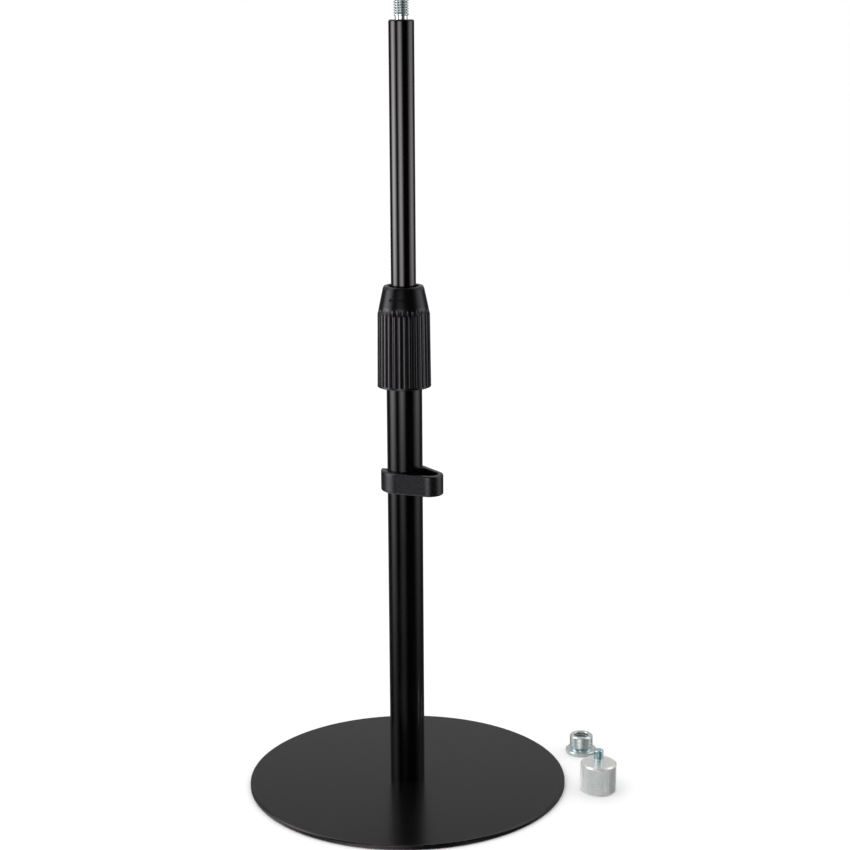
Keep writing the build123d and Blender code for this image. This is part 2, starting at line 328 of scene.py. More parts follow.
def powder_coat():
    """Satin black powder coat: a fine orange peel, faint clouding, and paint worn thin on the rim."""
    material, g, shader = new_material("satin powder coat")
    place = g.place()
    cloud = g.noise(place, scale=14, detail=4)
    grain = g.noise(place, scale=2600, detail=2)
    peel = g.noise(place, scale=620, detail=2)
    speck = g.between(g.noise(place, scale=900, detail=1, rough=0.4), 0.70, 0.78)
    chips = g.between(g.noise(place, scale=240, detail=4, rough=0.6), 0.52, 0.75)
    wear = g.math("MULTIPLY", g.attribute("wear"), chips)
    colour = g.mix(cloud, (0.0010, 0.0009, 0.0010, 1), (0.0018, 0.0016, 0.0017, 1))
    colour = g.mix(g.math("MULTIPLY", speck, 0.12), colour, grey(0.02))
    colour = g.mix(g.math("MULTIPLY", wear, 0.5), colour, (0.045, 0.043, 0.042, 1))
    rough = g.math("ADD", g.between(cloud, 0.3, 0.7, 0.20, 0.23), g.math("MULTIPLY", wear, -0.05))
    normal = g.bump(peel, 0.012 * MM, g.bump(grain, 0.006 * MM))
    g.feed(shader.inputs["Base Color"], colour)
    g.feed(shader.inputs["Specular Tint"], (1.0, 0.94, 0.99, 1))
    g.feed(shader.inputs["Roughness"], rough)
    g.feed(shader.inputs["Normal"], normal)
    return material


def tube_paint():
    """Smooth semi-gloss black on steel tube: long faint draw marks and a light orange peel."""
    material, g, shader = new_material("semi-gloss tube paint")
    place = g.place()
    draw = g.noise(g.stretched(place, 1, 1, 0.012), scale=1800, detail=3)
    peel = g.noise(place, scale=420, detail=2)
    smear = g.noise(g.stretched(place, 1, 1, 0.25), scale=60, detail=4, rough=0.6)
    chips = g.between(g.noise(place, scale=500, detail=3, rough=0.6), 0.5, 0.7)
    wear = g.math("MULTIPLY", g.attribute("wear"), chips)
    colour = g.mix(smear, (0.0006, 0.0006, 0.0006, 1), (0.0012, 0.0012, 0.0012, 1))
    colour = g.mix(g.math("MULTIPLY", wear, 0.6), colour, (0.06, 0.058, 0.056, 1))
    rough = g.math("ADD", g.between(smear, 0.3, 0.7, 0.10, 0.14), g.math("MULTIPLY", draw, 0.03))
    normal = g.bump(peel, 0.004 * MM, g.bump(draw, 0.0015 * MM))
    g.feed(shader.inputs["Base Color"], colour)
    g.feed(shader.inputs["Roughness"], rough)
    g.feed(shader.inputs["Normal"], normal)
    return material


def moulded_plastic(name, level, rough_low, rough_high, texture, bite, shine):
    """Black moulded plastic: spark-eroded grain, polished where hands rub it, painted shade and a duller
    finish in the grooves.
    """
    material, g, shader = new_material(name)
    place = g.place()
    grain = g.noise(place, scale=texture, detail=2, rough=0.6)
    cloud = g.noise(place, scale=110, detail=3)
    wear = g.attribute("wear")
    depth = g.attribute("depth")
    rub = g.math("MULTIPLY", wear, g.between(cloud, 0.35, 0.7))
    colour = g.mix(cloud, grey(level * 0.8), grey(level * 1.25))
    # Painted shade: the depth attribute darkens the flutes and the threads; it also darkens the raised arrow,
    # a moulded mark.
    colour = g.mix(g.math("MULTIPLY", depth, 0.7), colour, grey(level * 0.4))
    colour = g.mix(g.math("MULTIPLY", rub, 0.3), colour, grey(level * 4))
    rough = g.math("ADD", g.between(grain, 0.3, 0.7, rough_low, rough_high), g.math("MULTIPLY", rub, -0.07))
    rough = g.math("ADD", rough, g.math("MULTIPLY", depth, 0.15))
    g.feed(shader.inputs["Base Color"], colour)
    g.feed(shader.inputs["Specular Tint"], (0.97, 0.965, 1.05, 1))
    # Painted shade: the reflection weakens with depth, as if the groove walls hid the lights.
    reflection_painted_shade = 0.84
    g.feed(shader.inputs["Specular IOR Level"], g.math("MULTIPLY_ADD", depth, -reflection_painted_shade * shine, shine))
    g.feed(shader.inputs["Roughness"], rough)
    g.feed(shader.inputs["Normal"], g.bump(grain, bite))
    return material


def zinc_plate(name, light, metal, rough_low, rough_high, tint, tool_marks, blue_heights=(1.0, 1.0)):
    """Zinc plate: a blue-green passivation tint in soft patches, turning marks, painted shade in the grooves.

    Between the two blue_heights the plate is smoother and more strongly tinted.
    """
    material, g, shader = new_material(name)
    place = g.place()
    turning = g.noise(g.stretched(place, 0.05, 0.05, 1), scale=tool_marks, detail=2)
    cloud = g.noise(place, scale=130, detail=3)
    mottle = g.noise(place, scale=2600, detail=3)
    height = g.node("ShaderNodeSeparateXYZ", {"Vector": place}).outputs["Z"]
    above = g.math("GREATER_THAN", height, blue_heights[0])
    blue = g.math("MULTIPLY", above, g.math("LESS_THAN", height, blue_heights[1]))
    patch = g.math("MAXIMUM", g.between(cloud, 0.35, 0.65, 0.35 * tint, tint), g.math("MULTIPLY", blue, 0.85))
    plain = (light, light * 0.99, light * 0.96, 1)
    tinted = (light * 0.58, light * 0.90, light * 0.96, 1)
    colour = g.mix(patch, plain, tinted)
    colour = g.mix(g.between(mottle, 0.45, 0.75, 0.0, 0.10), colour, grey(light * 0.6))
    # Painted shade: thread roots and knurl grooves turn dark blue-green with their depth.
    groove_painted_shade = (light * 0.22, light * 0.31, light * 0.33, 1)
    colour = g.mix(g.math("MULTIPLY", g.attribute("depth"), 0.85), colour, groove_painted_shade)
    colour = g.mix(g.math("MULTIPLY", g.attribute("wear"), 0.4), colour, grey(min(light * 1.2, 0.95)))
    rough = g.between(mottle, 0.3, 0.7, rough_low, rough_high)
    rough = g.math("ADD", rough, g.math("MULTIPLY", g.attribute("depth"), 0.08))
    rough = g.math("SUBTRACT", rough, g.math("MULTIPLY", blue, 0.08))
    g.feed(shader.inputs["Base Color"], colour)
    g.feed(shader.inputs["Metallic"], g.math("MAXIMUM", g.math("MULTIPLY", blue, 0.9), metal))
    g.feed(shader.inputs["Roughness"], rough)
    g.feed(shader.inputs["Specular IOR Level"], 0.8)
    g.feed(shader.inputs["Normal"], g.bump(turning, 0.002 * MM, g.bump(mottle, 0.0015 * MM)))
    return material


def black_oxide():
    """Dark oiled steel for the hidden turned parts."""
    material, g, shader = new_material("black oxide steel")
    place = g.place()
    turning = g.noise(g.stretched(place, 0.05, 0.05, 1), scale=3000, detail=2)
    cloud = g.noise(place, scale=180, detail=4)
    g.feed(shader.inputs["Base Color"], g.mix(cloud, (0.018, 0.018, 0.02, 1), (0.035, 0.034, 0.036, 1)))
    g.feed(shader.inputs["Metallic"], 0.8)
    g.feed(shader.inputs["Roughness"], g.between(cloud, 0.3, 0.7, 0.34, 0.48))
    g.feed(shader.inputs["Normal"], g.bump(turning, 0.004 * MM))
    return material


def natural_acetal():
    """Off-white engineering plastic for the guide bush and the collet."""
    material, g, shader = new_material("natural acetal")
    place = g.place()
    cloud = g.noise(place, scale=150, detail=3)
    grain = g.noise(place, scale=2500, detail=2)
    g.feed(shader.inputs["Base Color"], g.mix(cloud, (0.66, 0.65, 0.60, 1), (0.76, 0.75, 0.71, 1)))
    g.feed(shader.inputs["Roughness"], g.between(grain, 0.3, 0.7, 0.36, 0.46))
    g.feed(shader.inputs["Subsurface Weight"], 0.15)
    g.feed(shader.inputs["Subsurface Scale"], 1.0 * MM)
    g.feed(shader.inputs["Normal"], g.bump(grain, 0.004 * MM))
    return material


def foot_rubber():
    """Matt anti-slip sheet with a pebbled face."""
    material, g, shader = new_material("anti-slip sheet")
    place = g.place()
    pebble = g.node("ShaderNodeTexVoronoi", {"Vector": place, "Scale": 900.0}).outputs["Distance"]
    dust = g.noise(place, scale=120, detail=4, rough=0.6)
    g.feed(shader.inputs["Base Color"], g.mix(g.between(dust, 0.45, 0.8), grey(0.012), grey(0.03)))
    g.feed(shader.inputs["Roughness"], g.between(dust, 0.3, 0.7, 0.75, 0.9))
    g.feed(shader.inputs["Normal"], g.bump(pebble, 0.05 * MM))
    return material


def floor_material():
    material, g, shader = new_material("pale floor")
    cloud = g.noise(g.place(), scale=3, detail=3)
    g.feed(shader.inputs["Base Color"], g.mix(cloud, grey(0.90), grey(0.93)))
    g.feed(shader.inputs["Roughness"], 0.9)
    g.feed(shader.inputs["Specular IOR Level"], 0.0)
    return material


# ---------------------------------------------------------------- base

def build_base_plate(material):
    _, radius, bottom, top = cylinder_of("base_plate")
    points = outline([
        corner(0, bottom),
        corner(radius, bottom, 0.3 * MM),
        corner(radius, top, 0.9 * MM),
        corner(0, top),
    ], closed=False, arc_points=8)
    plate = lathe("painted_base_plate", points, 384)
    dress(plate, material, "base_plate", "base")


def build_foot_pad(material):
    _, radius, bottom, top = cylinder_of("foot_pad")
    points = outline([
        corner(0, bottom),
        corner(radius, bottom, 0.15 * MM),
        corner(radius, top),
        corner(0, top),
    ], closed=False, arc_points=4)
    pad = lathe("anti_slip_pad", points, 256)
    dress(pad, material, "foot_pad", "base")


# ---------------------------------------------------------------- tubes

TUBE_WALL = 1.2 * MM
NECK_STEP = 0.6 * MM          # radial depth of the neck that holds the guide bush
NECK_LIP = 1.5 * MM


def build_lower_tube(material):
    _, radius, bottom, top = cylinder_of("lower_tube")
    bore = radius - TUBE_WALL
    points = outline([
        corner(radius, bottom, 0.15 * MM),
        corner(radius, top, 0.3 * MM),
        corner(bore, top, 0.3 * MM),
        corner(bore, bottom),
    ])
    tube = lathe("outer_tube", points, 192)
    dress(tube, material, "lower_tube", "base")


def build_inner_tube(material):
    _, radius, bottom, top = cylinder_of("inner_tube")
    neck_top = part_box("guide_bush")[1].z + RUN_GAP
    bore = radius - TUBE_WALL
    points = outline([
        corner(bore - NECK_STEP, bottom),
        corner(radius, bottom, 0.2 * MM),
        corner(radius, bottom + NECK_LIP, 0.1 * MM),
        corner(radius - NECK_STEP, bottom + NECK_LIP),
        corner(radius - NECK_STEP, neck_top),
        corner(radius, neck_top, 0.1 * MM),
        corner(radius, top, 1.05 * MM),
        corner(bore, top, 0.1 * MM),
        corner(bore, neck_top + NECK_STEP),
        corner(bore - NECK_STEP, neck_top),
    ])
    tube = lathe("telescopic_tube", points, 160)
    dress(tube, material, "inner_tube", "mast")


# ---------------------------------------------------------------- clutch

GRIP_SHOULDER_STEPS = [       # radius, height and rounding in mm where the barrel turns into the cone
    (16.84, 319.2, 1.2),
    (16.04, 322.3, 1.0),
    (15.68, 324.5, 3.0),
]
GRIP_CONE_TOP = (13.35, 335.4)        # radius and height in mm
GRIP_MOUTH = 9.7 * MM
GRIP_OUTSIDE = 13.0 * MM      # no relief nearer to the axis than this
NUT_LIP_HEIGHT = 1.3 * MM
NUT_RADIUS = 14.9 * MM
NUT_SHOULDER = 318.0 * MM     # height at which the nut's outside starts to narrow
NUT_TOP_RADIUS = 11.0 * MM
NUT_THROAT = 9.0 * MM
NUT_BORE = 13.05 * MM
NUT_THREAD_PITCH = 2.0 * MM
NUT_THREAD_DEPTH = 0.8 * MM
NUT_THREAD_TOP = 308.0 * MM
COLLET_RIM = 2.0 * MM
COLLET_FOOT_RADIUS = 12.0 * MM
COLLET_TOP_RADIUS = 10.0 * MM
FLUTES = 30
FLUTE_HALF_WIDTH = 0.80 * MM
RIB_CROWN = 0.22              # share of the flute's depth by which a rib falls off to its sides
FLUTE_DEPTH = 0.95 * MM
FLUTE_START = -0.125          # share of a flute's pitch past the +X axis
FLUTE_BLEND = 0.03 * MM       # softness of the line where a flute leaves the surface
FLUTE_RUN_IN = 0.5 * MM
ARROW_HEIGHT = 329.6 * MM
ARROW_FROM, ARROW_TO = math.radians(-131), math.radians(-84)
ARROW_RISE = 0.36 * MM
ARROW_SHADE = 0.9             # how dark the material makes it, as a depth
SHAFT_START = 0.8 * MM        # behind the arrow's point
SHAFT_HALF_WIDTH = 0.36 * MM
HEAD_LENGTH = 1.9 * MM
HEAD_SLOPE = 0.62


def flute_relief(lip_top, barrel_bottom, barrel_top, shoulder):
    """Straight flutes with rounded ribs between them; they run out where the cone falls below them."""
    def relief(angle, r, z):
        if z < lip_top + 0.05 * MM or r < GRIP_OUTSIDE:
            return 0.0, 0.0
        lean = (barrel_bottom - barrel_top) / (shoulder - lip_top)
        barrel = barrel_bottom - lean * (z - lip_top)
        across = (zigzag(angle * FLUTES / TURN + FLUTE_START) * 0.5) * TURN / FLUTES * barrel
        half_pitch = 0.5 * TURN / FLUTES * barrel
        off = half_pitch - across
        inside = np.clip(off / FLUTE_HALF_WIDTH, 0, 1)
        crown = np.clip(across / (half_pitch - FLUTE_HALF_WIDTH), 0, 1) ** 2
        sunk = RIB_CROWN * crown + (1 - RIB_CROWN) * np.sqrt(1 - inside ** 2)
        floor = barrel - FLUTE_DEPTH * sunk
        over = np.clip((r - floor) / FLUTE_BLEND, -40, 40)
        change = -FLUTE_BLEND * np.log(1 + np.exp(over))
        change = change * smooth_step(z, lip_top, lip_top + FLUTE_RUN_IN)
        return change, np.clip(-change / FLUTE_DEPTH, 0, 1)
    return relief


def arrow_relief(cone_low, cone_high):
    """A raised plain turning arrow on the front of the cone."""
    def relief(angle, r, z):
        if not cone_low < z < cone_high or r < GRIP_OUTSIDE:
            return 0.0, 0.0
        wrapped = (angle + math.pi) % TURN - math.pi
        along = (wrapped - ARROW_FROM) * r
        length = (ARROW_TO - ARROW_FROM) * r
        up = z - ARROW_HEIGHT
        shaft = (np.abs(up) < SHAFT_HALF_WIDTH) & (along > SHAFT_START) & (along < length)
        head = (along > 0) & (along < HEAD_LENGTH) & (np.abs(up) < HEAD_SLOPE * along)
        shape = shaft | head
        return ARROW_RISE * shape, ARROW_SHADE * shape
    return relief


def build_grip(material):
    low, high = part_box("clutch_grip")
    nut_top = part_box("clutch_nut")[1].z
    radius = (high.y - low.y) / 2
    bore = NUT_RADIUS + SEAT_GAP
    cone_radius, cone_top = GRIP_CONE_TOP[0] * MM, GRIP_CONE_TOP[1] * MM
    points = outline([
        corner(radius, low.z, 0.25 * MM),
        *[corner(r * MM, z * MM, rounding * MM) for r, z, rounding in GRIP_SHOULDER_STEPS],
        corner(cone_radius, cone_top, 0.9 * MM),
        corner(cone_radius - 0.75 * MM, high.z, 0.7 * MM),
        corner(GRIP_MOUTH + 0.35 * MM, high.z - 0.05 * MM, 0.6 * MM),
        corner(GRIP_MOUTH, nut_top + SEAT_GAP),
        corner(NUT_TOP_RADIUS + SEAT_GAP, nut_top + SEAT_GAP),
        corner(bore, NUT_SHOULDER),
        corner(bore, low.z),
    ], arc_points=7)
    shoulder_low, shoulder_high = 318 * MM, 325 * MM
    arrow_low, arrow_high = 326 * MM, 333 * MM
    points = refine(points, 0.25 * MM, low=shoulder_low, high=shoulder_high)
    points = refine(points, 0.16 * MM, low=arrow_low, high=arrow_high)
    points = refine(points, 3.0 * MM)
    relief = add_reliefs(
        flute_relief(low.z, radius, GRIP_SHOULDER_STEPS[0][0] * MM, GRIP_SHOULDER_STEPS[0][1] * MM),
        arrow_relief(arrow_low, arrow_high),
    )
    grip = lathe("fluted_grip", points, FLUTES * 24, relief=relief, sharp_angle=50)
    dress(grip, material, "clutch_grip", "grip")


def build_nut(material):
    """The nut's lip shows under the grip and its top shows inside the grip's mouth."""
    _, radius, bottom, top = cylinder_of("clutch_nut")
    collet_low, collet_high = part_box("clutch_collet")
    lip_top = bottom + NUT_LIP_HEIGHT
    cone_foot = collet_low.z + COLLET_RIM
    cone_top = collet_high.z + RUN_GAP
    thread_low = bottom + NUT_THREAD_PITCH
    points = outline([
        corner(NUT_BORE, bottom, 0.3 * MM),
        corner(radius, bottom, 0.5 * MM),
        corner(radius, lip_top, 0.1 * MM),
        corner(NUT_RADIUS, lip_top),
        corner(NUT_RADIUS, NUT_SHOULDER),
        corner(NUT_TOP_RADIUS, top),
        corner(NUT_THROAT, top, 0.3 * MM),
        corner(NUT_THROAT, cone_top),
        corner(COLLET_TOP_RADIUS + RUN_GAP, cone_top),
        corner(COLLET_FOOT_RADIUS + RUN_GAP, cone_foot),
        corner(NUT_BORE, cone_foot),
    ])
    points = refine(points, 0.22 * MM, low=thread_low, high=NUT_THREAD_TOP)
    relief = thread_relief(
        NUT_BORE, NUT_THREAD_PITCH, NUT_THREAD_DEPTH, thread_low, NUT_THREAD_TOP, inside=True)
    nut = lathe("threaded_nut", points, 128, relief=relief)
    dress(nut, material, "clutch_nut", "grip")


# ---------------------------------------------------------------- stud and plug

STUD_PITCH = INCH / 16 * MM           # 3/8 in-16
STUD_THREAD_DEPTH = 0.92 * MM
STUD_NECK = 3.95 * MM
STUD_NECK_LENGTH = 2.6 * MM           # plain neck between the tube's top and the thread
PLUG_HOLE = STUD_NECK + SEAT_GAP


def build_stud(material):
    _, _, bottom, top = cylinder_of("thread_stud")
    radius = mount_radius("top_stud")
    thread_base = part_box("inner_tube")[1].z + STUD_NECK_LENGTH
    points = outline([
        corner(0, bottom),
        corner(STUD_NECK, bottom),
        corner(STUD_NECK, thread_base - 0.35 * MM, 0.2 * MM),
        corner(radius, thread_base, 0.1 * MM),
        corner(radius, top - 0.9 * MM, 0.1 * MM),
        corner(STUD_NECK, top, 0.15 * MM),
        corner(0, top),
    ], closed=False)
    points = refine(points, STUD_PITCH / 14, closed=False, low=thread_base - 0.1 * MM, high=top - 0.5 * MM)
    relief = thread_relief(
        radius, STUD_PITCH, STUD_THREAD_DEPTH, thread_base, top - 0.4 * MM, crest=0.16, flank=0.62)
    stud = lathe("zinc_stud", points, 128, relief=relief, sharp_angle=60)
    dress(stud, material, "thread_stud", "mast")


def build_top_plug(material):
    _, radius, bottom, top = cylinder_of("top_plug")
    points = outline([
        corner(radius, bottom, 0.4 * MM),
        corner(radius, top, 0.35 * MM),
        corner(PLUG_HOLE, top, 0.2 * MM),
        corner(PLUG_HOLE, bottom, 0.2 * MM),
    ])
    plug = lathe("stud_plug", points, 96)
    dress(plug, material, "top_plug", "mast")


# ---------------------------------------------------------------- cable clip

CLIP_RING = 15.7 * MM
CLIP_LOBE = 9.15 * MM
CLIP_LOBE_WALL = 3.5 * MM
CLIP_DISTANCE = 20.2 * MM             # from the tube's axis to the lobe's
CLIP_DIRECTION = math.radians(-40)
CLIP_GAP = math.radians(58)
CLIP_ROUND = 1.0 * MM                 # on the outer edges
CLIP_INNER_ROUND = 0.7 * MM
CLIP_END_ROUND = 0.6 * MM
CLIP_STATIONS = 220
BELT_SAMPLES = 2400
ROUND_STEPS = 6
END_STEPS = 4


def belt_point(angle, ring, lobe):
    """Distance from the tube's axis to the belt round both circles, seen in direction angle (lobe at 0)."""
    lean = math.asin((ring - lobe) / CLIP_DISTANCE)
    touch = math.pi / 2 - lean
    if abs(angle) >= touch:
        return ring
    lobe_corner = math.atan2(lobe * math.sin(touch), CLIP_DISTANCE + lobe * math.cos(touch))
    if abs(angle) <= lobe_corner:
        return CLIP_DISTANCE * math.cos(angle) + math.sqrt(lobe ** 2 - (CLIP_DISTANCE * math.sin(angle)) ** 2)
    return ring / math.cos(abs(angle) - touch)


def belt_outline(ring, lobe, count):
    """Evenly spread points on the open belt, from one end of the gap round the lobe to the other."""
    end = math.pi - CLIP_GAP / 2
    angles = np.linspace(-end, end, BELT_SAMPLES)
    reach = np.array([belt_point(a, ring, lobe) for a in angles])
    points = np.stack([reach * np.cos(angles), reach * np.sin(angles)], 1)
    lengths = np.concatenate([[0], np.cumsum(np.linalg.norm(np.diff(points, axis=0), axis=1))])
    at = np.linspace(0, lengths[-1], count)
    return np.stack([np.interp(at, lengths, points[:, 0]), np.interp(at, lengths, points[:, 1])], 1)


def clip_section():
    """The band's cross-section: (inner side?, upper edge?, distance from the side, from the edge, wear)."""
    section = []
    for inward, up in ((0, 1), (1, 1), (1, 0), (0, 0)):
        rounding = CLIP_INNER_ROUND if inward else CLIP_ROUND
        from_side = inward != up          # whether this rounding starts on the side or on the rim
        on_side = (inward, up, 0.0, rounding + EDGE_GUARD, 0.0)
        on_rim = (inward, up, rounding + EDGE_GUARD, 0.0, 0.0)
        section.append(on_side if from_side else on_rim)
        for k in range(ROUND_STEPS + 1):
            t = k / ROUND_STEPS * math.pi / 2
            along, rise = (1 - math.cos(t), math.sin(t)) if from_side else (1 - math.sin(t), math.cos(t))
            wear = abs(math.sin(2 * t)) ** 0.5
            section.append((inward, up, along * rounding, (1 - rise) * rounding, wear))
        section.append(on_rim if from_side else on_side)
    return section


def build_clip(material):
    """A band swept round the tube and the cable lobe, open at the back, with rounded edges and ends."""
    low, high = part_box("cable_clip")
    bore = cylinder_of("lower_tube")[1] + RUN_GAP
    outside = belt_outline(CLIP_RING, CLIP_LOBE, CLIP_STATIONS)
    inside = belt_outline(bore, CLIP_LOBE - CLIP_LOBE_WALL, CLIP_STATIONS)
    section = clip_section()
    vertices, wear = [], []
    for outer, inner in zip(outside, inside):
        wall = np.linalg.norm(inner - outer)
        across = (inner - outer) / wall
        for inward, up, along, drop, worn in section:
            x, y = outer + across * (wall - along if inward else along)
            vertices.append((x, y, high.z - drop if up else low.z + drop))
            wear.append(worn)
    ring = len(section)
    faces = []
    for s in range(CLIP_STATIONS - 1):
        for k in range(ring):
            n = (k + 1) % ring
            faces.append((s * ring + k, s * ring + n, (s + 1) * ring + n, (s + 1) * ring + k))
    vertices, faces, wear = close_ends(vertices, faces, wear, ring, high.z - low.z)
    turn = Matrix.Rotation(CLIP_DIRECTION, 3, "Z")
    vertices = [turn @ Vector(v) for v in vertices]
    clip = finish_mesh("cable_clip_band", vertices, faces, wear, [0.0] * len(vertices), 40)
    dress(clip, material, "cable_clip", "clip")


def close_ends(vertices, faces, wear, ring, height):
    """Rounds off the band's two ends with shrinking copies of the end section, then caps them."""
    vertices = list(vertices)
    for end, inner in ((0, 1), (CLIP_STATIONS - 1, CLIP_STATIONS - 2)):
        base = end * ring
        loop = np.array(vertices[base:base + ring])
        middle = loop.mean(0)
        step = middle - np.array(vertices[inner * ring:inner * ring + ring]).mean(0)
        step[2] = 0
        step /= np.linalg.norm(step)
        half_width = math.hypot(*(loop[:, :2].max(0) - loop[:, :2].min(0))) / 2
        half_size = np.array([half_width, half_width, height / 2])
        previous = list(range(base, base + ring))
        for k in range(1, END_STEPS + 1):
            t = k / END_STEPS * math.pi / 2
            shrink = CLIP_END_ROUND * (1 - math.cos(t))
            copy = middle + (loop - middle) * (1 - shrink / half_size) + step * CLIP_END_ROUND * math.sin(t)
            current = list(range(len(vertices), len(vertices) + ring))
            vertices.extend(copy.tolist())
            wear.extend([math.sin(2 * t) ** 0.5 if k < END_STEPS else 0.0] * ring)
            for j in range(ring):
                n = (j + 1) % ring
                quad = (previous[j], previous[n], current[n], current[j])
                faces.append(quad[::-1] if end == 0 else quad)
            previous = current
        faces.append(tuple(previous[::-1] if end == 0 else previous))
    return vertices, faces, wear


# ---------------------------------------------------------------- adapters

BUSHING_PITCH = INCH / 27 * MM        # 5/8 in-27
BUSHING_FLANGE_HEIGHT = 2.75 * MM
BUSHING_RELIEF_HEIGHT = 2.3 * MM      # smooth neck between flange and thread
BUSHING_RELIEF_RADIUS = 7.3 * MM
BUSHING_BEVEL = 0.45 * MM
ADAPTER_PITCH = INCH / 20 * MM        # 1/4 in-20
ADAPTER_BODY_HEIGHT = 20.0 * MM
ADAPTER_BEVEL = 1.0 * MM
ADAPTER_NECK = 2.6 * MM
ADAPTER_NECK_LENGTH = 2.4 * MM
ADAPTER_SOCKET_DEPTH = 12.0 * MM
KNURL_LEAN = math.radians(36)


def build_bushing(material):
    centre, flange, bottom, top = cylinder_of("thread_bushing")
    outer = mount_radius("bushing_outer_thread")
    bore = mount_radius("bushing_inner_thread")
    flange_top = bottom + BUSHING_FLANGE_HEIGHT
    relief_top = flange_top + BUSHING_RELIEF_HEIGHT
    knurl_low = bottom + BUSHING_BEVEL
    knurl_high = flange_top - BUSHING_BEVEL
    thread_low = relief_top + 0.5 * MM
    thread_high = top - 0.7 * MM
    bore_low = bottom + 0.5 * MM
    bore_high = top - 0.6 * MM
    points = outline([
        corner(bore + 0.5 * MM, bottom, 0.1 * MM),
        corner(flange - BUSHING_BEVEL, bottom, 0.2 * MM),
        corner(flange, knurl_low),
        corner(flange, knurl_high),
        corner(flange - BUSHING_BEVEL, flange_top, 0.2 * MM),
        corner(BUSHING_RELIEF_RADIUS, flange_top, 0.3 * MM),
        corner(BUSHING_RELIEF_RADIUS, relief_top, 0.1 * MM),
        corner(outer, thread_low, 0.1 * MM),
        corner(outer, thread_high, 0.4 * MM),
        corner(outer - 0.8 * MM, top, 0.35 * MM),
        corner(bore + 0.55 * MM, top, 0.15 * MM),
        corner(bore, bore_high),
        corner(bore, bore_low),
    ], arc_points=4)
    points = refine(points, 0.085 * MM, low=thread_low - 0.1 * MM, high=thread_high + 0.1 * MM)
    points = refine(points, 0.12 * MM, low=bottom, high=relief_top)
    reliefs = add_reliefs(
        thread_relief(outer, BUSHING_PITCH, 0.05 * MM, thread_low, thread_high, crest=0.45),
        thread_relief(bore, STUD_PITCH, 0.5 * MM, bore_low, bore_high, inside=True),
        knurl_relief(flange, 48, KNURL_LEAN, 0.26 * MM, knurl_low, knurl_high),
    )
    bushing = lathe("zinc_bushing", points, 576, centre, reliefs, sharp_angle=55)
    dress(bushing, material, "thread_bushing", "bushing")


def build_camera_adapter(material):
    centre, radius, bottom, top = cylinder_of("camera_adapter")
    socket = mount_radius("adapter_socket")
    thread = mount_radius("adapter_stud")
    body_top = bottom + ADAPTER_BODY_HEIGHT
    socket_top = bottom + ADAPTER_SOCKET_DEPTH
    thread_low = body_top + ADAPTER_NECK_LENGTH
    points = outline([
        corner(0, socket_top),
        corner(socket, socket_top),
        corner(socket, bottom, 0.3 * MM),
        corner(radius - 0.6 * MM, bottom, 0.3 * MM),
        corner(radius, bottom + 0.7 * MM, 0.2 * MM),
        corner(radius, body_top - ADAPTER_BEVEL, 0.15 * MM),
        corner(radius - ADAPTER_BEVEL, body_top, 0.25 * MM),
        corner(ADAPTER_NECK, body_top, 0.25 * MM),
        corner(ADAPTER_NECK, thread_low - 0.3 * MM, 0.1 * MM),
        corner(thread, thread_low, 0.1 * MM),
        corner(thread, top - 0.6 * MM, 0.1 * MM),
        corner(thread - 0.6 * MM, top, 0.1 * MM),
        corner(0, top),
    ], closed=False, arc_points=4)
    points = refine(points, 0.14 * MM, closed=False, low=bottom + 0.6 * MM, high=body_top - 0.5 * MM)
    points = refine(points, 0.10 * MM, closed=False, low=thread_low, high=top - 0.5 * MM)
    knurl_high = body_top - ADAPTER_BEVEL - 0.1 * MM
    reliefs = add_reliefs(
        thread_relief(thread, ADAPTER_PITCH, 0.62 * MM, thread_low, top - 0.3 * MM),
        knurl_relief(radius, 54, KNURL_LEAN, 0.40 * MM, bottom + 0.9 * MM, knurl_high),
    )
    adapter = lathe("zinc_camera_adapter", points, 624, centre, reliefs, sharp_angle=55)
    dress(adapter, material, "camera_adapter", "adapter")


# ---------------------------------------------------------------- studio

CAMERA_PLACE = (0.0, -1.10886, 0.49590)
CAMERA_PITCH, CAMERA_YAW, CAMERA_ROLL = -12.685, 0.679, -0.350     # degrees
CAMERA_LENS = 74.37                                                # mm on a 36 mm square sensor


def build_camera():
    data = bpy.data.cameras.new("camera")
    data.sensor_width = 36.0
    data.lens = CAMERA_LENS
    data.clip_start, data.clip_end = 0.02, 100.0
    camera = bpy.data.objects.new("camera", data)
    bpy.context.scene.collection.objects.link(camera)
    yaw = Matrix.Rotation(math.radians(-CAMERA_YAW), 4, "Z")
    pitch = Matrix.Rotation(math.radians(90 + CAMERA_PITCH), 4, "X")
    roll = Matrix.Rotation(math.radians(CAMERA_ROLL), 4, "Z")
    camera.matrix_world = Matrix.Translation(CAMERA_PLACE) @ yaw @ pitch @ roll
    bpy.context.scene.camera = camera


# Brightness of the surroundings, as reflections see it. Directions and elevations are in degrees;
# a direction is counted from the front, + to the right.
# Below the elevation knee a strip fades to the share low, the slower the larger fall is; across
# STRIP_HEAD it drops to the share high. Its red and blue are relative to its green.
STRIPS = [
    dict(direction=-84, width=34, bright=8.6, red=1.042, blue=1.015,
         knee=-6.5, fall=4.4, low=0.0, high=0.21),
    dict(direction=-17, width=28, bright=6.8, red=1.08, blue=1.014,
         knee=-8.0, fall=2.5, low=0.02, high=0.035),
    dict(direction=89, width=39, bright=3.4, red=1.045, blue=1.014,
         knee=-7.0, fall=4.6, low=0.0, high=0.18),
]
FLOOR_BANDS = [
    dict(direction=-116, width=50, bright=1.9),
    dict(direction=-35, width=45, bright=2.3),
    dict(direction=47, width=25, bright=0.5),
    dict(direction=128, width=35, bright=0.5),
]
STRIP_FOOT = (-27.5, -22.5)       # elevations between which a strip begins
STRIP_HEAD = (-7.0, 12.0)         # elevations between which it drops to its high share
FLOOR_EDGE = (-27.5, -23.9)
FLOOR_GLOW = 0.10
